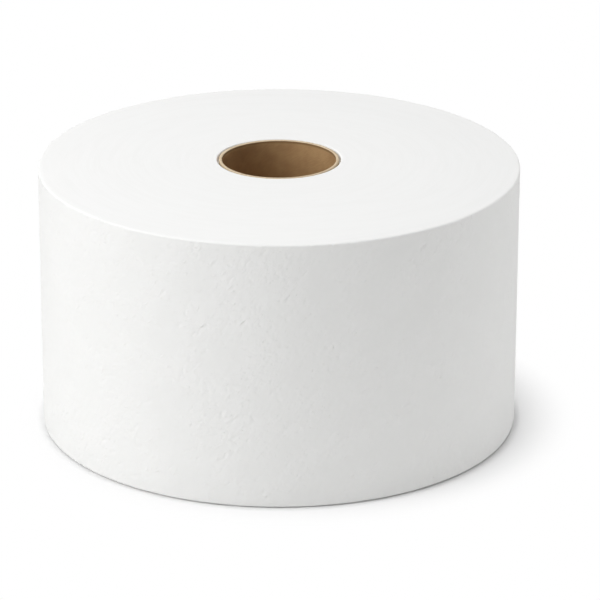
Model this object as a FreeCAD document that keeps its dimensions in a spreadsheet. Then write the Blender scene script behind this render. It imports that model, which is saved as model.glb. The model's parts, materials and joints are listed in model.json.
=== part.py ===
import FreeCAD, Part

import math
import os

import Sketcher
from FreeCAD import Vector

# A jumbo roll of toilet tissue, standing on its end, in millimetres.
# Two pieces: the web of tissue, wound up in one length, and the cardboard tube it is wound on.
# The frame's origin is the middle of the lower end, and +Z runs up the roll's axis. Each piece is
# drawn about its own middle and then lifted by half the roll's width.

# Driving dimensions: alias, value, what it is.
SIZES = [
    ("roll_diameter", 190.0, "outside diameter, at the free end of the web"),
    ("roll_width", 108.0, "length of the roll along its axis, which is the width of the web"),
    ("core_bore", 45.0, "inside diameter of the cardboard tube"),
    ("core_wall", 1.2, "wall of the tube, two plies of board"),
    ("core_inset", 0.1, "how far each cut end of the tube lies inside the paper's end"),
    ("core_edge", 0.25, "bevel of the tube's cut ends on the inside, where the knife leaves them soft"),
    ("glue_line", 0.1, "radial room for the glue between the tube and the first turn"),
    ("web_thickness", 0.3, "thickness of the web's free end, its two plies a little apart"),
    ("web_end_angle", 115.0, "direction in which the free end of the web lies, in degrees from +X"),
    ("rim_round", 1.3, "rounding of the paper's outer rims"),
    ("slope_width", 30.0, "band inside the upper rim where the outer turns lie pressed down"),
    ("slope_depth", 1.5, "how far that band falls from the upper end to the rim"),
    ("dip_width", 0.9, "width of the ring-shaped dip between the tube and the first turns"),
    ("dip_depth", 2.2, "depth of that dip"),
    ("turn_lines", 7, "turns of the spiral line on each end, which stands for the many real turns"),
    ("turn_line_width", 0.6, "width of the spiral line"),
    ("turn_line_depth", 0.3, "depth of the spiral line"),
    ("turn_margin", 3.0, "plain band left beside the dip and beside the sloping band"),
]

# Places that more than one sketch uses, as expressions of the sizes.
BORE = "(sizes.core_bore / 2)"
TUBE = f"({BORE} + sizes.core_wall)"
TUBE_END = "(sizes.roll_width / 2 - sizes.core_inset)"
SEAT = f"({TUBE} + sizes.glue_line)"
RIM = "(sizes.roll_diameter / 2)"
PAPER_END = "(sizes.roll_width / 2)"
FIRST_TURN = f"({SEAT} + sizes.dip_width + sizes.turn_margin)"
RIM_START = f"({RIM} - sizes.rim_round)"
SLOPE_START = f"({RIM_START} - sizes.slope_width)"
LAST_TURN = f"({SLOPE_START} - sizes.turn_margin)"
TURN_STEP = f"(({LAST_TURN} - {FIRST_TURN}) / sizes.turn_lines / 2)"

# How far a cutting outline runs out past the surface that it cuts.
CLEAR = 2.0

# Narrow flats that make up the rounding of a rim, and the hollow curve of the sloping band.
RIM_FLATS = 3
SLOPE_FLATS = 3

# The sketcher's numbers for its own horizontal axis and origin, and for an arc's centre.
X_AXIS = -1
ORIGIN = (-1, 1)
START, END, CENTRE = 1, 2, 3

UP = Vector(0, 0, 1)


def make_sizes(document):
    """The sheet of driving dimensions: the alias in column A, its value in B, and a note in C."""
    sheet = document.addObject("Spreadsheet::Sheet", "sizes")
    for row, (alias, value, note) in enumerate(SIZES, start=1):
        sheet.set(f"A{row}", alias)
        sheet.set(f"B{row}", str(value))
        sheet.set(f"C{row}", note)
        sheet.setAlias(f"B{row}", alias)
    document.recompute()
    return sheet


def base_plane(body, role):
    """One of the body's own origin planes, such as XY_Plane."""
    return next(item for item in body.Origin.OriginFeatures if item.Role == role)


def add_sketch(body, name, role):
    """An empty sketch on one of the body's origin planes."""
    sketch = body.newObject("Sketcher::SketchObject", name)
    sketch.AttachmentSupport = [(base_plane(body, role), "")]
    sketch.MapMode = "FlatFace"
    return sketch


def worth(sketch, size):
    """The present value of an expression, in millimetres, to draw with before it is constrained."""
    return float(sketch.evalExpression(size))


def constrain(sketch, kind, *references, size=None, name=None):
    """Adds one constraint. With a size, an expression, the constraint is named and bound to it."""
    if size is None:
        sketch.addConstraint(Sketcher.Constraint(kind, *references))
        return
    index = sketch.addConstraint(Sketcher.Constraint(kind, *references, worth(sketch, size)))
    sketch.renameConstraint(index, name)
    sketch.setExpression(f"Constraints.{name}", size)


def add_arc(sketch, centre, radius, start_angle):
    """Half a circle, drawn counterclockwise from the start angle."""
    circle = Part.Circle(Vector(*centre, 0), UP, radius)
    return sketch.addGeometry(Part.ArcOfCircle(circle, start_angle, start_angle + math.pi))


def add_circle(sketch, size, name):
    """A circle about the roll's axis, with its radius bound to an expression."""
    circle = sketch.addGeometry(Part.Circle(Vector(), UP, worth(sketch, size)))
    constrain(sketch, "Coincident", circle, CENTRE, *ORIGIN)
    constrain(sketch, "Radius", circle, size=size, name=name)


def add_polygon(sketch, name, corners):
    """A closed outline of straight lines. A corner is two expressions: its distance and its height."""
    points = [Vector(worth(sketch, out), worth(sketch, up), 0) for out, up in corners]
    first = sketch.GeometryCount
    count = len(points)
    for index in range(count):
        sketch.addGeometry(Part.LineSegment(points[index], points[(index + 1) % count]))
    for index, (out, up) in enumerate(corners):
        line = first + index
        constrain(sketch, "Coincident", line, END, first + (index + 1) % count, START)
        constrain(sketch, "DistanceX", *ORIGIN, line, START, size=out, name=f"{name}{index}_out")
        constrain(sketch, "DistanceY", *ORIGIN, line, START, size=up, name=f"{name}{index}_up")


def add_spiral(sketch, half_turns, start, step):
    """A spiral of half circles about two centres: each half circle's radius is one step larger.

    Start is the first radius and step is how much each half turn adds, both as expressions. The
    spiral starts on +X. Returns its first and last half circle.
    """
    radius, grows = worth(sketch, start), worth(sketch, step)
    arcs = []
    for index in range(half_turns):
        odd = index % 2
        arc = add_arc(sketch, (grows * odd, 0), radius + grows * index, math.pi * odd)
        constrain(sketch, "PointOnObject", arc, END, X_AXIS)
        if index == 0:
            constrain(sketch, "PointOnObject", arc, START, X_AXIS)
            constrain(sketch, "Radius", arc, size=start, name="first_radius")
        else:
            constrain(sketch, "Coincident", arcs[-1], END, arc, START)
        if index == 1:
            constrain(sketch, "PointOnObject", arc, CENTRE, X_AXIS)
            constrain(sketch, "DistanceX", *ORIGIN, arc, CENTRE, size=step, name="second_centre")
        elif odd:
            constrain(sketch, "Coincident", arc, CENTRE, arcs[1], CENTRE)
        else:
            constrain(sketch, "Coincident", arc, CENTRE, *ORIGIN)
        arcs.append(arc)
    return arcs[0], arcs[-1]


def turned(body, kind, name, sketch):
    """A full turn of a sketch about the roll's axis: a Revolution adds, and a Groove cuts."""
    feature = body.newObject(f"PartDesign::{kind}", name)
    feature.Profile = sketch
    feature.ReferenceAxis = (sketch, ["V_Axis"])
    feature.Angle = 360
    return feature


def make_core(document):
    """The tube, with the soft inside edges that the cutting knife leaves."""
    body = document.addObject("PartDesign::Body", "cardboard_core")
    section = add_sketch(body, "core_section", "XZ_Plane")
    add_polygon(
        section,
        "wall",
        [
            (TUBE, f"-{TUBE_END}"),
            (TUBE, TUBE_END),
            (f"{BORE} + sizes.core_edge", TUBE_END),
            (BORE, f"{TUBE_END} - sizes.core_edge"),
            (BORE, f"-({TUBE_END} - sizes.core_edge)"),
            (f"{BORE} + sizes.core_edge", f"-{TUBE_END}"),
        ],
    )
    turned(body, "Revolution", "core_tube", section)
    body.setExpression("Placement.Base.z", PAPER_END)
    return body


def outline_web(body):
    """The roll seen from above: one turn that grows by the web's thickness, its free end, the bore."""
    sketch = add_sketch(body, "web_outline", "XY_Plane")
    first, last = add_spiral(sketch, 2, f"{RIM} - sizes.web_thickness", "sizes.web_thickness / 2")
    outer = Vector(worth(sketch, RIM), 0, 0)
    inner = Vector(worth(sketch, f"{RIM} - sizes.web_thickness"), 0, 0)
    free_end = sketch.addGeometry(Part.LineSegment(outer, inner))
    constrain(sketch, "Coincident", last, END, free_end, START)
    constrain(sketch, "Coincident", free_end, END, first, START)
    add_circle(sketch, SEAT, "seat")
    return sketch


def rim_corners(side, drop):
    """The rounding of a rim, from the outer turn to the end: side is a sign, drop how deep it lies."""
    corners = []
    for flat in range(RIM_FLATS + 1):
        angle = 90 * flat / RIM_FLATS
        out = f"{RIM} - sizes.rim_round * (1 - cos({angle} deg))"
        up = f"{side}({PAPER_END} - {drop} - sizes.rim_round * (1 - sin({angle} deg)))"
        corners.append((out, up))
    return corners


def outline_upper_rim(body):
    """What is cut from the upper end's edge: the sloping band, then the rounding of the rim."""
    sketch = add_sketch(body, "upper_rim_section", "XZ_Plane")
    corners = rim_corners("", "sizes.slope_depth")
    for flat in range(1, SLOPE_FLATS + 1):
        left = 1 - flat / SLOPE_FLATS
        out = f"{SLOPE_START} + sizes.slope_width * {left}"
        up = f"{PAPER_END} - sizes.slope_depth * {left ** 2}"
        corners.append((out, up))
    corners += [
        (SLOPE_START, f"{PAPER_END} + {CLEAR}"),
        (f"{RIM} + {CLEAR}", f"{PAPER_END} + {CLEAR}"),
        (f"{RIM} + {CLEAR}", f"{PAPER_END} - sizes.slope_depth - sizes.rim_round"),
    ]
    add_polygon(sketch, "rim", corners)
    return sketch


def outline_lower_rim(body):
    """What is cut from the lower end's edge: the corner outside the rounding of the rim."""
    sketch = add_sketch(body, "lower_rim_section", "XZ_Plane")
    corners = rim_corners("-", "0") + [
        (RIM_START, f"-({PAPER_END} + {CLEAR})"),
        (f"{RIM} + {CLEAR}", f"-({PAPER_END} + {CLEAR})"),
        (f"{RIM} + {CLEAR}", f"-({PAPER_END} - sizes.rim_round)"),
    ]
    add_polygon(sketch, "rim", corners)
    return sketch


def outline_dip(body):
    """What is cut from the paper's upper end beside the tube."""
    sketch = add_sketch(body, "dip_section", "XZ_Plane")
    add_polygon(
        sketch,
        "dip",
        [
            (SEAT, f"{PAPER_END} - sizes.dip_depth"),
            (f"{SEAT} + sizes.dip_width", PAPER_END),
            (f"{SEAT} + sizes.dip_width", f"{PAPER_END} + {CLEAR}"),
            (f"{SEAT} - {CLEAR}", f"{PAPER_END} + {CLEAR}"),
            (f"{SEAT} - {CLEAR}", f"{PAPER_END} - sizes.dip_depth"),
        ],
    )
    return sketch


def cut_turn_lines(body):
    """The spiral line on the upper end: a narrow vee, led along a spiral from the tube outwards."""
    path = add_sketch(body, "turn_line_path", "XY_Plane")
    path.setExpression("AttachmentOffset.Base.z", PAPER_END)
    half_turns = 2 * int(body.Document.sizes.turn_lines)
    add_spiral(path, half_turns, FIRST_TURN, TURN_STEP)

    # The vee is drawn twice as high as it is deep, so its mouth, above the paper, is twice as wide.
    mouth = f"{PAPER_END} + sizes.turn_line_depth"
    vee = add_sketch(body, "turn_line_section", "XZ_Plane")
    add_polygon(
        vee,
        "vee",
        [
            (FIRST_TURN, f"{PAPER_END} - sizes.turn_line_depth"),
            (f"{FIRST_TURN} + sizes.turn_line_width", mouth),
            (f"{FIRST_TURN} - sizes.turn_line_width", mouth),
        ],
    )
    lines = body.newObject("PartDesign::SubtractivePipe", "turn_line_cut")
    lines.Profile = vee
    lines.Spine = (path, [])
    lines.Mode = "Binormal"
    lines.Binormal = UP
    return lines


def make_paper(document):
    """The wound web: its outer turn and free end, its rounded rims, and the turns on each end."""
    body = document.addObject("PartDesign::Body", "wound_paper")
    web = body.newObject("PartDesign::Pad", "wound_web")
    web.Profile = outline_web(body)
    web.Midplane = True
    web.setExpression("Length", "sizes.roll_width")
    document.recompute()

    turned(body, "Groove", "upper_rim", outline_upper_rim(body))
    turned(body, "Groove", "lower_rim", outline_lower_rim(body))
    dip = turned(body, "Groove", "dip", outline_dip(body))
    turn_lines = cut_turn_lines(body)
    both_ends = body.newObject("PartDesign::Mirrored", "both_ends")
    both_ends.Originals = [dip, turn_lines]
    both_ends.MirrorPlane = (base_plane(body, "XY_Plane"), [""])
    body.Tip = both_ends

    body.setExpression("Placement.Base.z", PAPER_END)
    body.setExpression("Placement.Rotation.Angle", "sizes.web_end_angle")
    return body


def check(document, bodies):
    """Stops on a failed feature or a piece that isn't one valid solid."""
    failed = [item.Name for item in document.Objects if {"Invalid", "Error"} & set(item.State)]
    if failed:
        raise SystemExit(f"failed: {failed}")
    for body in bodies:
        shape = body.Shape
        if shape.isNull() or not shape.isValid() or len(shape.Solids) != 1:
            raise SystemExit(f"{body.Label} is not one valid solid")


def main():
    """Makes the sizes and both pieces, checks them and writes each one to its own file."""
    document = FreeCAD.newDocument("toilet_roll")
    make_sizes(document)
    bodies = [make_paper(document), make_core(document)]
    document.recompute()
    check(document, bodies)
    os.makedirs("parts", exist_ok=True)
    for body in bodies:
        body.Shape.exportStep(f"parts/{body.Label}.step")
        print(f"{body.Label}: {body.Shape.Volume:.1f} mm3")


main()
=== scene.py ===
import json
import logging
import math
from dataclasses import dataclass, field
from enum import Enum, IntEnum
from typing import Any, NamedTuple, Sequence, Union

import bpy
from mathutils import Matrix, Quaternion, Vector, noise


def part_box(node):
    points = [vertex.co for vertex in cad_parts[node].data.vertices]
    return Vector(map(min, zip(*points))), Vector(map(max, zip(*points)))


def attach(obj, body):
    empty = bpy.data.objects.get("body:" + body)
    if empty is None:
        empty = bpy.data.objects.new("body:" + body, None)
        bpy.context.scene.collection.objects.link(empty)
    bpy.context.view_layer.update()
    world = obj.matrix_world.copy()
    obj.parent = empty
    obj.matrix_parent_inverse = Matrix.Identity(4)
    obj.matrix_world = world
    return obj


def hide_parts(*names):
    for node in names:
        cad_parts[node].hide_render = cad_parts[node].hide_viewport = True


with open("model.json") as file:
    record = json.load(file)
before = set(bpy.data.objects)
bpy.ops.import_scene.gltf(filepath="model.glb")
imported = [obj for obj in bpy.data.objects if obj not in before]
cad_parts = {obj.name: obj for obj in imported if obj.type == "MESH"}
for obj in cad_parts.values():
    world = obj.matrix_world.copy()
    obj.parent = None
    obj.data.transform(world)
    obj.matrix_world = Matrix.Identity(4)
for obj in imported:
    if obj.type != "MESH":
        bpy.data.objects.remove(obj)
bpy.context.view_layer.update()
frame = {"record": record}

# A jumbo roll of toilet tissue on its cardboard tube, standing on its end. Lengths are in metres.

LOG = logging.getLogger("roll")

MM = 0.001
BODY = "root"
QUARTER_TURN = math.pi / 2
FULL_TURN = 2 * math.pi
WEB_MAP = "web"
ROLL_RADIUS = 95 * MM
GLUE_LINE = 0.1 * MM
WHITE = (1.0, 1.0, 1.0)

Colour = tuple[float, float, float]
Point = tuple[float, float, float]
Range = tuple[float, float]
Socket = bpy.types.NodeSocket
Feed = Union[float, Sequence[float], Socket]


def opaque(colour: Colour) -> tuple[float, float, float, float]:
    """The colour with full alpha, as a colour socket takes it."""
    return (*colour, 1.0)


class Graph:
    """The node tree of one material or world, with short ways to add nodes."""

    def __init__(self, tree: bpy.types.NodeTree) -> None:
        """Starts from an empty tree."""
        self.tree = tree
        self.tree.nodes.clear()

    def add(self, kind: str, feeds: dict[Union[str, int], Feed], **settings: Any) -> bpy.types.Node:
        """Adds one node.

        Args:
            kind: The node's type in Blender.
            feeds: What goes into its sockets, a value or another node's socket, by name or number.
            settings: Properties of the node itself.

        Returns:
            The node.
        """
        node = self.tree.nodes.new(kind)
        for name, value in settings.items():
            setattr(node, name, value)
        for name, feed in feeds.items():
            if isinstance(feed, bpy.types.NodeSocket):
                self.tree.links.new(feed, node.inputs[name])
            else:
                node.inputs[name].default_value = feed
        return node

    def sum_up(self, operation: str, *feeds: Feed) -> Socket:
        """One step of arithmetic, such as ADD or MULTIPLY."""
        return self.add("ShaderNodeMath", dict(enumerate(feeds)), operation=operation).outputs[0]

    def vector(self, operation: str, output: Union[str, int], *feeds: Feed) -> Socket:
        """One step of arithmetic on vectors, such as ADD or LENGTH, and the output it leaves by."""
        node = self.add("ShaderNodeVectorMath", dict(enumerate(feeds)), operation=operation)
        return node.outputs[output]

    def turn(self, vector: Socket, angle: float, scale: Point) -> Socket:
        """The vector turned about its third axis and then scaled."""
        feeds = {"Vector": vector, "Rotation": (0.0, 0.0, angle), "Scale": scale}
        return self.add("ShaderNodeMapping", feeds, vector_type="TEXTURE").outputs[0]

    def noise(self, vector: Socket, detail: float, rough: float = 0.5) -> Socket:
        """Smooth noise of unit size, from 0 to 1, at a vector."""
        feeds = {"Vector": vector, "Scale": 1.0, "Detail": detail, "Roughness": rough}
        return self.add("ShaderNodeTexNoise", feeds).outputs["Fac"]

    def level(self, value: Socket, taken: Range, given: Range = (0.0, 1.0)) -> Socket:
        """Carries a value smoothly from one range to another, and holds it at the ends."""
        feeds = {0: value, 1: taken[0], 2: taken[1], 3: given[0], 4: given[1]}
        return self.add("ShaderNodeMapRange", feeds, interpolation_type="SMOOTHSTEP").outputs[0]

    def blend(self, share: Feed, first: Feed, second: Feed) -> Socket:
        """A mix of two colours: the share is how much of the second there is."""
        feeds = {"Factor": share, 6: first, 7: second}
        return self.add("ShaderNodeMix", feeds, data_type="RGBA").outputs[2]

    def flat_place(self) -> Socket:
        """The place on the flat web or board, in metres."""
        return self.add("ShaderNodeUVMap", {}, uv_map=WEB_MAP).outputs[0]

    def solid_place(self) -> Socket:
        """The place in the part's own frame, in metres."""
        return self.add("ShaderNodeTexCoord", {}).outputs["Object"]

    def seen_straight(self) -> Socket:
        """Tells what is seen from what only lights.

        Returns:
            1 for what the camera, a mirror or clear glass shows, and 0 for light on its way.
        """
        path = self.add("ShaderNodeLightPath", {}).outputs
        straight = self.sum_up("MAXIMUM", path["Is Camera Ray"], path["Is Glossy Ray"])
        return self.sum_up("MAXIMUM", straight, path["Is Transmission Ray"])

    def surface(self, shader: Socket) -> None:
        """Ends the tree in a surface."""
        self.add("ShaderNodeOutputMaterial", {"Surface": shader})

    def dull_surface(self, finish: "Finish", colour: Socket, relief: Socket) -> None:
        """Ends the tree in a dull surface.

        Args:
            finish: Says how rough and glossy it is, and how high its relief stands.
            colour: Its colour.
            relief: How far it stands out, in units of the finish's own height.
        """
        feeds = {
            "Base Color": colour,
            "Roughness": finish.roughness,
            "Specular IOR Level": finish.specular,
            "Normal": self.add("ShaderNodeBump", {"Height": relief, "Distance": finish.height}).outputs[0],
        }
        self.surface(self.add("ShaderNodeBsdfPrincipled", feeds).outputs[0])


def new_material(name: str) -> tuple[bpy.types.Material, Graph]:
    """Starts a material.

    Args:
        name: The material's name.

    Returns:
        The material and the graph of its nodes.
    """
    material = bpy.data.materials.new(name)
    material.use_nodes = True
    return material, Graph(material.node_tree)


@dataclass(frozen=True)
class Grain:
    """A layer of noise on a finish: how large it is, how it is turned and how fine it gets."""

    size: Point
    turn: float = 0.0
    detail: float = 1.0
    rough: float = 0.5

    def value(self, graph: Graph, place: Socket) -> Socket:
        """The noise at a place, from 0 to 1."""
        return graph.noise(graph.turn(place, self.turn, self.size), self.detail, self.rough)


@dataclass(frozen=True)
class Marks:
    """The peaks of a layer of noise: where they start, where they are full and how high."""

    grain: Grain
    reach: Range
    height: float = 1.0

    def value(self, graph: Graph, place: Socket) -> Socket:
        """The marks at a place, from 0 to their height."""
        return graph.level(self.grain.value(graph, place), self.reach, (0.0, self.height))


@dataclass(frozen=True)
class TissueWall:
    """The outer turn of soft white tissue: smooth, with small flecks, dents and loose fibres."""

    colour: Colour = (0.905, 0.905, 0.893)
    shade: Colour = (0.893, 0.894, 0.881)
    roughness: float = 0.94
    specular: float = 0.2
    height: float = 0.15 * MM
    cloud: Grain = Grain((20 * MM, 15 * MM, 1.0), turn=0.4, detail=2.0)
    shade_range: Range = (0.3, 0.7)
    patch_range: Range = (0.35, 0.6)
    patch_relief: Range = (0.35, 1.0)
    crepe: Grain = Grain((0.9 * MM, 2.6 * MM, 1.0), detail=3.0, rough=0.6)
    crepe_height: float = 0.2
    mottle: Grain = Grain((3.0 * MM, 2.2 * MM, 1.0), turn=0.9, detail=1.5, rough=0.55)
    mottle_height: float = 2.3
    fleck: Marks = Marks(Grain((2.1 * MM, 1.5 * MM, 1.0), turn=0.5), (0.58, 0.84))
    dent: Marks = Marks(Grain((4.2 * MM, 2.8 * MM, 1.0), turn=0.8), (0.50, 0.84), height=1.1)
    stroke: Grain = Grain((0.7 * MM, 4.5 * MM, 1.0), turn=math.radians(-48), detail=0.0)
    stroke_range: Range = (0.72, 0.88)
    stroke_height: float = 0.6

    def material(self) -> bpy.types.Material:
        """Makes the finish.

        Returns:
            The material.
        """
        material, graph = new_material("tissue_wall")
        web = graph.flat_place()
        cloud = self.cloud.value(graph, web)
        tone = graph.level(cloud, self.shade_range)
        patch = graph.level(cloud, self.patch_range, self.patch_relief)
        relief = graph.sum_up("MULTIPLY", patch, self.relief(graph, web))
        graph.dull_surface(self, graph.blend(tone, opaque(self.shade), opaque(self.colour)), relief)
        return material

    def relief(self, graph: Graph, web: Socket) -> Socket:
        """How the face stands out: a faint crepe and mottle, sparse flecks and fibres, and dents.

        Args:
            graph: The material's graph.
            web: The place on the flat web.

        Returns:
            The height, in units of the finish's own height.
        """
        fibre = Marks(self.stroke, self.stroke_range, self.stroke_height)
        raised = graph.sum_up("ADD", self.fleck.value(graph, web), fibre.value(graph, web))
        for grain, height in ((self.crepe, self.crepe_height), (self.mottle, self.mottle_height)):
            raised = graph.sum_up("MULTIPLY_ADD", grain.value(graph, web), height, raised)
        return graph.sum_up("SUBTRACT", raised, self.dent.value(graph, web))


@dataclass(frozen=True)
class TissueEnd:
    """The cut ends of the turns: close rings, with painted shade that draws them a little darker where two
    turns stand apart.
    """

    colour: Colour = (0.905, 0.905, 0.898)
    # Painted shade: the darker tone in the gaps between turns, where shade falls.
    gap_shade: Colour = (0.893, 0.893, 0.885)
    gap_shade_range: Range = (0.75, 1.15)
    roughness: float = 0.96
    specular: float = 0.15
    height: float = 0.018 * MM
    turn: float = 0.55 * MM
    turn_detail: float = 1.0
    band: float = 2.4 * MM
    band_detail: float = 2.0
    along: float = 22 * MM
    fuzz: Grain = Grain((0.5 * MM, 0.5 * MM, 0.5 * MM))
    fuzz_height: float = 0.5

    def material(self) -> bpy.types.Material:
        """Makes the finish.

        Returns:
            The material.
        """
        material, graph = new_material("tissue_end")
        place = graph.solid_place()
        flat = graph.vector("MULTIPLY", 0, place, (1.0, 1.0, 0.0))
        turns = graph.noise(self.rings(graph, flat, self.turn), self.turn_detail)
        bands = graph.noise(self.rings(graph, flat, self.band), self.band_detail)
        both = graph.sum_up("ADD", turns, bands)
        relief = graph.sum_up("MULTIPLY_ADD", self.fuzz.value(graph, place), self.fuzz_height, both)
        # Painted shade between the turns, laid on by the ring noise.
        tone = graph.level(both, self.gap_shade_range)
        graph.dull_surface(self, graph.blend(tone, opaque(self.gap_shade), opaque(self.colour)), relief)
        return material

    def rings(self, graph: Graph, flat: Socket, step: float) -> Socket:
        """A place for noise that runs in long rings about the axis.

        Args:
            graph: The material's graph.
            flat: The place in the plane of the end.
            step: How far apart the rings are.

        Returns:
            The place, in units of the noise.
        """
        slow = graph.vector("MULTIPLY", 0, flat, (1 / self.along, 1 / self.along, 0.0))
        fast = graph.sum_up("MULTIPLY", graph.vector("LENGTH", "Value", flat), 1 / step)
        up = graph.add("ShaderNodeCombineXYZ", {"Z": fast}).outputs[0]
        return graph.vector("ADD", 0, slow, up)


@dataclass(frozen=True)
class Board:
    """Brown kraft board: long fibres along the ply, a few dark specks, a dull sheen."""

    name: str
    colour: Colour
    dark: Colour
    roughness: float = 0.82
    specular: float = 0.3
    height: float = 0.05 * MM
    fibre: Grain = Grain((3.2 * MM, 0.35 * MM, 1.0), turn=math.radians(-31), detail=3.0, rough=0.6)
    fibre_share: float = 0.7
    cloud: Grain = Grain((9 * MM, 9 * MM, 1.0), detail=2.0)
    tone_range: Range = (0.6, 1.15)
    speck: Marks = Marks(Grain((0.55 * MM, 0.55 * MM, 0.55 * MM), turn=0.3), (0.68, 0.8), height=0.6)
    # Painted shade: a dark brown drawn on the board close to its cut ends, in place of the shade just
    # inside the bore's rim.
    rim_shade_colour: Colour = (0.17, 0.095, 0.035)
    rim_shade_share: float = 0.0
    rim_shade_range: Range = (0.45 * MM, 1.5 * MM)
    foot: float = 0.0
    top: float = 0.0

    def material(self) -> bpy.types.Material:
        """Makes the finish.

        Returns:
            The material.
        """
        material, graph = new_material(self.name)
        web = graph.flat_place()
        fibre = self.fibre.value(graph, web)
        cloud = self.cloud.value(graph, web)
        tone = graph.level(graph.sum_up("MULTIPLY_ADD", fibre, self.fibre_share, cloud), self.tone_range)
        colour = graph.blend(tone, opaque(self.dark), opaque(self.colour))
        colour = graph.blend(self.speck.value(graph, web), colour, opaque(self.dark))
        # Paints shade near the cut ends where it is set.
        if self.rim_shade_share:
            colour = graph.blend(self.painted_rim_shade(graph), colour, opaque(self.rim_shade_colour))
        graph.dull_surface(self, colour, fibre)
        return material

    def painted_rim_shade(self, graph: Graph) -> Socket:
        """Painted shade: how much darker the board is drawn close to its cut ends, standing in for the
        shade just inside the bore's rim.

        Args:
            graph: The material's graph.

        Returns:
            The share of the painted shade's colour.
        """
        height = graph.add("ShaderNodeSeparateXYZ", {0: graph.solid_place()}).outputs["Z"]
        above = graph.sum_up("SUBTRACT", height, self.foot)
        below = graph.sum_up("SUBTRACT", self.top, height)
        return graph.level(graph.sum_up("MINIMUM", above, below), self.rim_shade_range, (self.rim_shade_share, 0.0))


Finish = Union[TissueWall, TissueEnd, Board]


@dataclass(frozen=True)
class StudioFloor:
    """A plain pale floor, which the camera sees run out into white round the roll's shadow."""

    tone: float = 0.9
    fade_centre: Point = (8 * MM, 0.0, 0.0)
    fade_range: Range = (72 * MM, 113 * MM)
    foot_range: Range = (95 * MM, 98 * MM)

    def material(self) -> bpy.types.Material:
        """Makes the finish.

        Returns:
            The material.
        """
        material, graph = new_material("floor_white")
        place = graph.solid_place()
        far = graph.vector("DISTANCE", "Value", place, self.fade_centre)
        fade = graph.level(far, self.fade_range)
        clear = graph.level(graph.vector("LENGTH", "Value", place), self.foot_range)
        share = graph.sum_up("MULTIPLY", graph.sum_up("MULTIPLY", fade, clear), graph.seen_straight())
        white = graph.add("ShaderNodeEmission", {"Color": opaque(WHITE), "Strength": 1.0}).outputs[0]
        plain = graph.add("ShaderNodeBsdfDiffuse", {"Color": opaque((self.tone,) * 3)}).outputs[0]
        graph.surface(graph.add("ShaderNodeMixShader", {0: share, 1: plain, 2: white}).outputs[0])
        return material


@dataclass(frozen=True)
class Swell:
    """An unevenness of a surface: how high it is, how far apart, and where its noise is taken."""

    height: float
    length: float
    shift: float = 0.0
    middle: float = 0.0

    def at(self, place: Point) -> float:
        """How far the surface is moved at a place, in metres: its height each way of the middle."""
        shift = Vector((self.shift, self.shift, self.shift))
        return self.height * (self.middle + noise.noise(Vector(place) / self.length + shift))


class End(Enum):
    """The two ends of the roll: which way each one faces along the axis."""

    UPPER = 1
    LOWER = -1


class WebSlot(IntEnum):
    """The finishes of the wound web, in the order of its material slots."""

    WALL = 0
    END = 1


class TubeSlot(IntEnum):
    """The finishes of the tube, in the order of its material slots."""

    FACE = 0
    CUT = 1


@dataclass
class LoopMesh:
    """Collects closed loops of points and the bands of faces between them, and makes a mesh."""

    points: list[Point] = field(default_factory=list)
    places: list[tuple[float, float]] = field(default_factory=list)
    faces: list[tuple[int, ...]] = field(default_factory=list)
    slots: list[int] = field(default_factory=list)

    def loop(self, points: Sequence[Point], places: Sequence[tuple[float, float]]) -> list[int]:
        """Adds a loop of points.

        Args:
            points: The points, counterclockwise from above.
            places: Where each point lies on the flat web, in metres.

        Returns:
            The points' numbers.
        """
        first = len(self.points)
        self.points.extend(points)
        self.places.extend(places)
        return list(range(first, len(self.points)))

    def band(
        self, first: list[int], second: list[int], slot: int, flip: bool = False, wrap: bool = True
    ) -> None:
        """Adds the faces between two loops of as many points.

        Args:
            first: The numbers of the loop that the section reaches first.
            second: The numbers of the next loop.
            slot: The material's number.
            flip: Whether the section runs the other way round.
            wrap: Whether the last points are joined to the first ones.
        """
        count = len(first)
        for here in range(count if wrap else count - 1):
            there = (here + 1) % count
            self.face((first[here], second[here], second[there], first[there]), slot, flip)

    def face(self, corners: tuple[int, ...], slot: int, flip: bool = False) -> None:
        """Adds one face, turned over if flip is set."""
        self.faces.append(tuple(reversed(corners)) if flip else corners)
        self.slots.append(int(slot))

    def make(self, name: str, materials: Sequence[bpy.types.Material]) -> bpy.types.Object:
        """Makes the object.

        Args:
            name: The object's name.
            materials: Its materials, in the order of the slot numbers.

        Returns:
            The object, in the scene.
        """
        mesh = bpy.data.meshes.new(name)
        mesh.from_pydata(self.points, [], self.faces)
        for material in materials:
            mesh.materials.append(material)
        layer = mesh.uv_layers.new(name=WEB_MAP)
        for corner, loop in enumerate(mesh.loops):
            layer.uv[corner].vector = self.places[loop.vertex_index]
        mesh.polygons.foreach_set("material_index", self.slots)
        mesh.polygons.foreach_set("use_smooth", [True] * len(self.faces))
        mesh.update()
        piece = bpy.data.objects.new(name, mesh)
        bpy.context.scene.collection.objects.link(piece)
        return piece


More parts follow.
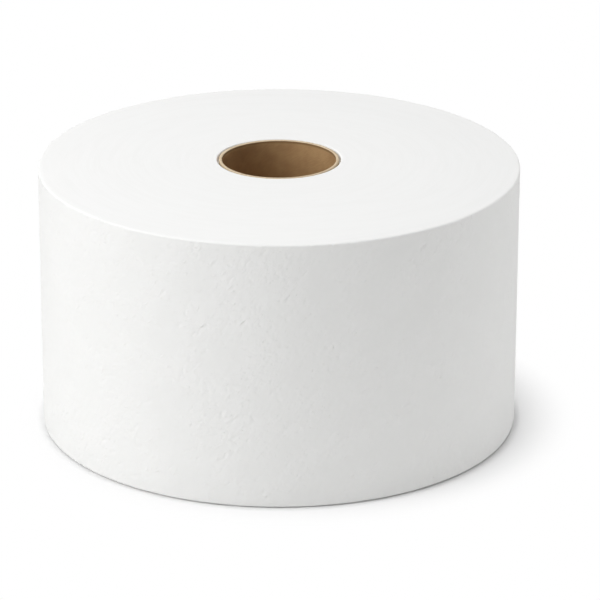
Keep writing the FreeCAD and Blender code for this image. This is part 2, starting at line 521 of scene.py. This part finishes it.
@dataclass
class WoundPaper:
    """The wound web: outer turn with its free end, rounded rims, and the turns on both ends."""

    seat: float
    rim: float
    width: float
    web: float = 0.3 * MM
    web_end: float = math.radians(115)
    free_edge: float = 0.03 * MM
    rim_round: float = 0.9 * MM
    foot_round: float = 1.3 * MM
    rim_steps: int = 5
    rim_end_steps: int = 2
    slope_width: float = 56 * MM
    slope_depth: float = 1.5 * MM
    dip_width: float = 0.9 * MM
    dip_width_least: float = 0.6
    dip_flat: float = 0.35 * MM
    dip_flat_least: float = 0.25
    dip_depth: float = 2.2 * MM
    dip_steps: int = 6
    dip_level: float = 0.04 * MM
    turn_start: float = 0.3 * MM
    turn_step: float = 1.4 * MM
    columns: int = 320
    wall_rows: int = 84
    wall_inset: float = 0.08 * MM
    wall_swell: Swell = Swell(0.10 * MM, 55 * MM)
    wall_pucker: Swell = Swell(0.035 * MM, 9 * MM, shift=4.0)
    turn_uneven: Swell = Swell(0.035 * MM, 0.9 * MM, shift=2.5, middle=1.0)
    turn_gap: Swell = Swell(0.03 * MM, 14 * MM, shift=1.5, middle=1.2)
    end_swell: Swell = Swell(0.05 * MM, 30 * MM, shift=7.0, middle=1.0)
    rim_swell: Swell = Swell(0.09 * MM, 20 * MM, middle=1.0)
    angles: list[float] = field(default_factory=list)

    def __post_init__(self) -> None:
        """Places the columns of points: one stack at each angle, and two at the web's free end."""
        step = FULL_TURN / self.columns
        self.angles = [self.web_end + step * index for index in range(self.columns)]
        self.angles.append(self.web_end + FULL_TURN - self.free_edge / self.rim)

    def share(self, angle: float) -> float:
        """How much of a turn the angle lies past the web's free end, from 0 to 1."""
        return (angle - self.web_end) / FULL_TURN

    def outline(self, angle: float) -> float:
        """The outside radius at an angle: the web's thickness more at the end of a turn."""
        return self.rim - self.web * (1 - self.share(angle))

    def point(self, radius: float, angle: float, height: float) -> Point:
        """A point from its distance to the axis, its direction and its height."""
        return (radius * math.cos(angle), radius * math.sin(angle), height)

    def end_height(self, end: End, depth: float) -> float:
        """The height of what lies that deep inside one end."""
        return self.width - depth if end is End.UPPER else depth

    def rounding(self, end: End) -> float:
        """How far the rim of one end is rounded."""
        return self.rim_round if end is End.UPPER else self.foot_round

    def lean(self, end: End) -> float:
        """The angle at which the end meets the rounding of its rim."""
        return math.atan(2 * self.slope_depth / self.slope_width) if end is End.UPPER else 0.0

    def slope(self, end: End, radius: float) -> float:
        """How far the outer turns of the upper end lie pressed down.

        Args:
            end: Which end it is.
            radius: The distance to the axis.

        Returns:
            The depth inside the end.
        """
        if end is End.LOWER:
            return 0.0
        inside = self.rim - self.rim_round - self.slope_width
        share = min(max((radius - inside) / self.slope_width, 0.0), 1.0)
        return self.slope_depth * share ** 2

    def wall_relief(self, angle: float, height: float) -> float:
        """How far the outer turn stands out or in, in metres: slow swells and small puckers."""
        place = self.point(self.rim, angle, height)
        return self.wall_swell.at(place) + self.wall_pucker.at(place) - self.wall_inset

    def turn_relief(self, place: Point, turns: float, between: bool) -> float:
        """How far a turn's edge lies inside the end, in metres.

        Args:
            place: The point on the end.
            turns: How many modelled turns lie inside it.
            between: Whether the point is in the gap between two turns.

        Returns:
            The depth, never under zero.
        """
        depth = self.turn_uneven.at((turns * MM, 0.0, 0.0)) + self.end_swell.at(place)
        return depth + (self.turn_gap.at(place) if between else 0.0)

    def dip_radius(self, angle: float, turn: float) -> float:
        """The radius of the dip's curved side. The tube is a little oval, so the dip varies.

        Args:
            angle: The direction from the axis.
            turn: How far up the side: zero at the dip's floor, a right angle at the end.

        Returns:
            The radius.
        """
        wide = math.cos(angle) ** 2
        floor = self.dip_flat * (self.dip_flat_least + (1 - self.dip_flat_least) * wide)
        full = self.dip_width * (self.dip_width_least + (1 - self.dip_width_least) * wide)
        return self.seat + full - (full - floor) * math.cos(turn)

    def ring(self, mesh: LoopMesh, end: End, radii: Sequence[float], depths: Sequence[float]) -> list[int]:
        """Adds one loop of points about the axis near an end.

        Args:
            mesh: Where the points go.
            end: Which end it is.
            radii: The distance to the axis at each angle.
            depths: The depth inside the end at each angle.

        Returns:
            The points' numbers.
        """
        points, places = [], []
        for angle, radius, depth in zip(self.angles, radii, depths):
            height = self.end_height(end, depth)
            points.append(self.point(radius, angle, height))
            places.append((self.rim * (angle - self.web_end), height))
        return mesh.loop(points, places)

    def rim_loop(self, mesh: LoopMesh, end: End, turn: float) -> list[int]:
        """Adds a loop of the rounded rim.

        Args:
            mesh: Where the points go.
            end: Which end it is.
            turn: How far round the rim the loop lies: zero is level with the end, a right angle
                level with the wall.

        Returns:
            The points' numbers.
        """
        rounding = self.rounding(end)
        height = self.end_height(end, rounding)
        drop = self.slope(end, self.rim) + rounding * (1 - math.cos(turn))
        radii, depths = [], []
        for angle in self.angles:
            out = self.wall_relief(angle, height) * math.sin(turn)
            radii.append(self.outline(angle) - rounding * (1 - math.sin(turn)) + out)
            uneven = self.rim_swell.at(self.point(self.rim, angle, end.value * self.width))
            depths.append(drop + uneven * math.cos(turn))
        return self.ring(mesh, end, radii, depths)

    def spiral(self, mesh: LoopMesh, end: End, start: float) -> list[list[int]]:
        """Adds the turns on an end. Two loops make one turn: its edge, and the gap beside it.

        Args:
            mesh: Where the points go.
            end: Which end it is.
            start: The radius at which the first turn starts.

        Returns:
            The loops' numbers, from the tube outwards.
        """
        flip = end is End.LOWER
        room = self.rim - self.web - self.rounding(end) - self.turn_step - start
        count = 2 * int(room / self.turn_step)
        rings = []
        for index in range(count + 1):
            radii, depths = [], []
            for angle in self.angles:
                turns = index / 2 + self.share(angle)
                radius = start + self.turn_step * turns
                place = self.point(radius, angle, end.value * self.width)
                radii.append(radius)
                depths.append(self.slope(end, radius) + self.turn_relief(place, turns, bool(index % 2)))
            rings.append(self.ring(mesh, end, radii, depths))
        for before, after in zip(rings, rings[1:]):
            mesh.band(before, after, WebSlot.END, flip, wrap=False)
        for index in range(count - 2):
            corners = (rings[index][-1], rings[index + 1][-1], rings[index + 3][0], rings[index + 2][0])
            mesh.face(corners, WebSlot.END, flip)
        return rings

    def join_spiral(self, mesh: LoopMesh, circle: list[int], rings: list[list[int]], flip: bool) -> None:
        """Joins the spiral's inner end to the circle inside it.

        Args:
            mesh: Where the faces go.
            circle: The circle's numbers.
            rings: The spiral's numbers, from the tube outwards.
            flip: Whether the end faces down.
        """
        mesh.band(circle, rings[0], WebSlot.END, flip, wrap=False)
        corners = (circle[-1], rings[0][-1], rings[2][0], rings[1][0], rings[0][0], circle[0])
        mesh.face(corners, WebSlot.END, flip)

    def close_spiral(self, mesh: LoopMesh, rings: list[list[int]], circle: list[int], flip: bool) -> None:
        """Joins the spiral's outer end to the circle outside it.

        Args:
            mesh: Where the faces go.
            rings: The spiral's numbers, from the tube outwards.
            circle: The circle's numbers.
            flip: Whether the end faces down.
        """
        mesh.band(rings[-1], circle, WebSlot.END, flip, wrap=False)
        corners = (rings[-3][-1], rings[-2][-1], rings[-1][-1], circle[-1], circle[0], rings[-1][0])
        mesh.face(corners, WebSlot.END, flip)

    def build_dip(self, mesh: LoopMesh, end: End) -> tuple[list[int], list[int]]:
        """Builds the dip beside the tube.

        Args:
            mesh: Where the points and faces go.
            end: Which end it is.

        Returns:
            The loop at the bore and the loop at the end's own level.
        """
        count = len(self.angles)
        loops = [self.ring(mesh, end, [self.seat] * count, [self.dip_depth + self.dip_level] * count)]
        for step in range(self.dip_steps + 1):
            turn = QUARTER_TURN * step / self.dip_steps
            radii = [self.dip_radius(angle, turn) for angle in self.angles]
            depth = self.dip_depth * (1 - math.sin(turn)) + self.dip_level
            loops.append(self.ring(mesh, end, radii, [depth] * count))
        for before, after in zip(loops, loops[1:]):
            mesh.band(before, after, WebSlot.END, end is End.LOWER)
        return loops[0], loops[-1]

    def build_end(self, mesh: LoopMesh, end: End) -> tuple[list[int], list[int]]:
        """Builds one end, from the bore's edge across the turns to the wall's edge.

        Args:
            mesh: Where the points and faces go.
            end: Which end it is.

        Returns:
            The loop at the bore and the loop at the outer wall.
        """
        flip = end is End.LOWER
        bore, circle = self.build_dip(mesh, end)
        rings = self.spiral(mesh, end, self.seat + self.dip_width + self.turn_start)
        self.join_spiral(mesh, circle, rings, flip)

        start = self.lean(end)
        last = self.rim_loop(mesh, end, start)
        self.close_spiral(mesh, rings, last, flip)
        for step in range(1, self.rim_steps + 1):
            loop = self.rim_loop(mesh, end, start + (QUARTER_TURN - start) * step / self.rim_steps)
            slot = WebSlot.WALL if step > self.rim_end_steps else WebSlot.END
            mesh.band(last, loop, slot, flip)
            last = loop
        return bore, last

    def build_wall(self, mesh: LoopMesh, upper: list[int], lower: list[int]) -> None:
        """Builds the outer turn between the rims.

        Args:
            mesh: Where the points and faces go.
            upper: The loop at the foot of the upper rim.
            lower: The loop at the head of the lower rim.
        """
        last = upper
        top = self.slope_depth + self.rim_round
        tall = self.width - self.foot_round - top
        for row in range(1, self.wall_rows):
            depth = top + tall * row / self.wall_rows
            height = self.width - depth
            radii = [self.outline(angle) + self.wall_relief(angle, height) for angle in self.angles]
            loop = self.ring(mesh, End.UPPER, radii, [depth] * len(radii))
            mesh.band(last, loop, WebSlot.WALL)
            last = loop
        mesh.band(last, lower, WebSlot.WALL)

    def build(self) -> bpy.types.Object:
        """Builds the whole web as one closed mesh and dresses it.

        Returns:
            The piece.
        """
        mesh = LoopMesh()
        bore_top, wall_top = self.build_end(mesh, End.UPPER)
        bore_foot, wall_foot = self.build_end(mesh, End.LOWER)
        self.build_wall(mesh, wall_top, wall_foot)
        mesh.band(bore_foot, bore_top, WebSlot.END)
        piece = mesh.make("tissue_web", [TissueWall().material(), TissueEnd().material()])
        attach(piece, BODY)
        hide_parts("wound_paper")
        return piece


class Corner(NamedTuple):
    """One loop of the tube's section: where it is, how deep the seam is there, and its finish."""

    radius: float
    height: float
    seam: float
    slot: TubeSlot


@dataclass
class CoreTube:
    """The cardboard tube, wound from two plies at an angle, with the seam of the inner one."""

    bore: float
    outside: float
    foot: float
    top: float
    columns: int = 176
    rows: int = 78
    seam_lead: float = 80 * MM
    seam_top: float = math.radians(300)
    seam_half: float = 0.28 * MM
    seam_floor: float = 0.6
    seam_depth: float = 0.28 * MM
    bevel: float = 0.22 * MM
    bevel_knee: float = 0.3
    bevel_seam: Range = (0.8, 0.6)
    outer_bevel: float = 0.1 * MM
    cut_dish: float = 0.03 * MM
    uneven: Swell = Swell(0.05 * MM, 16 * MM)

    def offsets(self) -> list[tuple[float, float]]:
        """Spreads the columns of points round the bore.

        Returns:
            Each column's place along the bore from the seam, and how deep the seam is there.
        """
        floor = self.seam_floor * self.seam_half
        seam = [(-self.seam_half, 0.0), (-floor, 1.0), (floor, 1.0), (self.seam_half, 0.0)]
        step = (FULL_TURN * self.bore - 2 * self.seam_half) / self.columns
        plain = [(self.seam_half + step * index, 0.0) for index in range(1, self.columns)]
        return seam + plain

    def ring(self, mesh: LoopMesh, corner: Corner) -> list[int]:
        """Adds one loop of points about the tube's axis.

        Args:
            mesh: Where the points go.
            corner: Where the loop lies in the section.

        Returns:
            The points' numbers.
        """
        points, places = [], []
        turned = self.seam_top + FULL_TURN * (corner.height - self.top) / self.seam_lead
        for along, depth in self.offsets():
            angle = turned + along / self.bore
            place = (math.cos(angle) * self.bore, math.sin(angle) * self.bore, corner.height)
            out = corner.radius + self.seam_depth * depth * corner.seam + self.uneven.at(place)
            points.append((out * math.cos(angle), out * math.sin(angle), corner.height))
            places.append((angle * self.bore, corner.height))
        return mesh.loop(points, places)

    def section(self) -> list[Corner]:
        """Lays out the tube's section: up the bore, over the cut, down the outside and back.

        Returns:
            The section's corners.
        """
        outside = self.outside - self.uneven.height
        middle = (self.bore + outside) / 2
        shoulder = outside - self.outer_bevel
        knee = self.bevel_knee * self.bevel
        tall = self.top - self.foot - 2 * self.bevel
        heights = [self.foot + self.bevel + tall * row / self.rows for row in range(self.rows + 1)]
        near, far = self.bevel_seam
        return [
            *(Corner(self.bore, height, 1.0, TubeSlot.FACE) for height in heights),
            Corner(self.bore + knee, self.top - knee, near, TubeSlot.CUT),
            Corner(self.bore + self.bevel, self.top, far, TubeSlot.CUT),
            Corner(middle, self.top - self.cut_dish, 0.0, TubeSlot.CUT),
            Corner(shoulder, self.top, 0.0, TubeSlot.CUT),
            *(Corner(outside, height, 0.0, TubeSlot.CUT) for height in reversed(heights)),
            Corner(shoulder, self.foot, 0.0, TubeSlot.CUT),
            Corner(middle, self.foot + self.cut_dish, 0.0, TubeSlot.CUT),
            Corner(self.bore + self.bevel, self.foot, far, TubeSlot.CUT),
        ]

    def build(self) -> bpy.types.Object:
        """Builds the tube as one closed mesh and dresses it.

        Returns:
            The piece.
        """
        mesh = LoopMesh()
        section = self.section()
        loops = [self.ring(mesh, corner) for corner in section]
        for before, after, corner in zip(loops, loops[1:], section[1:]):
            mesh.band(before, after, corner.slot)
        mesh.band(loops[-1], loops[0], TubeSlot.CUT)
        face = Board(
            "core_board",
            colour=(0.56, 0.36, 0.175),
            dark=(0.44, 0.265, 0.125),
            # Painted shade on the bore near both cut ends.
            rim_shade_share=0.75,
            foot=self.foot,
            top=self.top,
        )
        cut = Board("core_cut_end", colour=(0.72, 0.60, 0.43), dark=(0.58, 0.45, 0.30))
        piece = mesh.make("core_tube", [face.material(), cut.material()])
        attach(piece, BODY)
        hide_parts("cardboard_core")
        return piece


@dataclass(frozen=True)
class SoftBox:
    """A soft lamp: where it hangs about the roll in degrees, how strong it is and how large."""

    name: str
    azimuth: float
    elevation: float
    level: float
    distance: float = 1.6
    size: float = 1.0

    def build(self, target: Vector) -> bpy.types.Object:
        """Hangs the lamp so that it faces the target.

        Args:
            target: What it faces.

        Returns:
            The lamp.
        """
        data = bpy.data.lights.new(self.name, "AREA")
        data.shape = "DISK"
        data.size = self.size
        data.energy = self.level * (math.pi * self.distance) ** 2
        lamp = bpy.data.objects.new(self.name, data)
        turn, rise = math.radians(self.azimuth), math.radians(self.elevation)
        away = Vector((math.cos(rise) * math.cos(turn), math.cos(rise) * math.sin(turn), math.sin(rise)))
        lamp.location = target + away * self.distance
        lamp.rotation_euler = away.to_track_quat("Z", "Y").to_euler()
        lamp.visible_camera = False
        bpy.context.scene.collection.objects.link(lamp)
        return lamp


@dataclass(frozen=True)
class Studio:
    """A plain white studio: the floor, even light all round, and the soft lamps."""

    target: Vector
    floor_reach: float = 6.0
    floor_drop: float = 0.1 * MM
    fill: float = 0.15
    lamps: tuple[SoftBox, ...] = (
        SoftBox("key_high", azimuth=200, elevation=40, level=0.272, size=0.7),
        SoftBox("key_front", azimuth=222, elevation=15, level=0.293),
        SoftBox("front_right", azimuth=340, elevation=2, level=0.104, size=0.2),
        SoftBox("right", azimuth=0, elevation=2, level=0.155, size=0.2),
        SoftBox("back", azimuth=90, elevation=35, level=0.07),
        SoftBox("overhead", azimuth=180, elevation=88, level=0.594),
    )

    def build(self) -> None:
        """Builds the floor, the surroundings and the lamps."""
        reach, low = self.floor_reach, -self.floor_drop
        corners = [(-reach, -reach, low), (reach, -reach, low), (reach, reach, low), (-reach, reach, low)]
        mesh = bpy.data.meshes.new("floor")
        mesh.from_pydata(corners, [], [(0, 1, 2, 3)])
        mesh.materials.append(StudioFloor().material())
        floor = bpy.data.objects.new("floor", mesh)
        bpy.context.scene.collection.objects.link(floor)
        self.surround()
        for lamp in self.lamps:
            lamp.build(self.target)

    def surround(self) -> None:
        """Lights the scene evenly from all round, and shows plain white behind it."""
        world = bpy.data.worlds.new("studio")
        world.use_nodes = True
        bpy.context.scene.world = world
        graph = Graph(world.node_tree)
        strength = graph.level(graph.seen_straight(), (0.0, 1.0), (self.fill, 1.0))
        feeds = {"Color": opaque(WHITE), "Strength": strength}
        graph.add("ShaderNodeOutputWorld", {"Surface": graph.add("ShaderNodeBackground", feeds).outputs[0]})


@dataclass(frozen=True)
class PhotoCamera:
    """The photograph's camera, found from the roll's outline. Pixels are in its 600 by 600 frame."""

    target: Vector
    distance: float = 1.48
    elevation: float = math.radians(20.812)
    tilt: float = math.radians(0.147)
    focal_pixels: float = 3712.4
    frame_pixels: float = 600.0
    target_pixel: tuple[float, float] = (278.94, 286.83)
    sensor: float = 36.0

    def build(self) -> bpy.types.Object:
        """Makes the camera and the scene's view of it.

        Returns:
            The camera.
        """
        data = bpy.data.cameras.new("photo_camera")
        data.sensor_width = self.sensor
        data.lens = self.sensor * self.focal_pixels / self.frame_pixels
        camera = bpy.data.objects.new("photo_camera", data)
        rise = self.elevation
        back = Vector((0.0, -math.cos(rise), math.sin(rise)))
        up = Vector((0.0, math.sin(rise), math.cos(rise)))
        right = Vector((1.0, 0.0, 0.0))
        middle = self.frame_pixels / 2
        aside = (middle - self.target_pixel[0]) / self.focal_pixels
        below = (middle - self.target_pixel[1]) / self.focal_pixels
        forward = -back + right * aside - up * below
        facing = forward.to_track_quat("-Z", "Y") @ Quaternion((0.0, 0.0, 1.0), self.tilt)
        camera.location = self.target + back * self.distance
        camera.rotation_euler = facing.to_euler()
        bpy.context.scene.collection.objects.link(camera)
        bpy.context.scene.camera = camera
        bpy.context.scene.view_settings.view_transform = "Standard"
        return camera


def main() -> None:
    """Builds the roll, the studio and the camera, and reports each piece."""
    logging.basicConfig(level=logging.INFO, format="%(name)s: %(message)s")
    paper_low, paper_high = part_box("wound_paper")
    core_low, core_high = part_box("cardboard_core")
    bore = next(mount for mount in frame["record"]["mounts"] if mount["name"] == "core_bore")
    width = paper_high[2] - paper_low[2]
    tube_outside = core_high[0]
    middle = Vector((0.0, 0.0, width / 2))

    paper = WoundPaper(seat=tube_outside + GLUE_LINE, rim=ROLL_RADIUS, width=width)
    tube = CoreTube(
        bore=bore["dims"]["r_mm"] * MM,
        outside=tube_outside,
        foot=core_low[2],
        top=core_high[2],
    )
    for part in (paper, tube):
        piece = part.build()
        LOG.info("%s: %d faces", piece.name, len(piece.data.polygons))
    Studio(target=middle).build()
    PhotoCamera(target=middle).build()


if __name__ == "__main__":
    main()
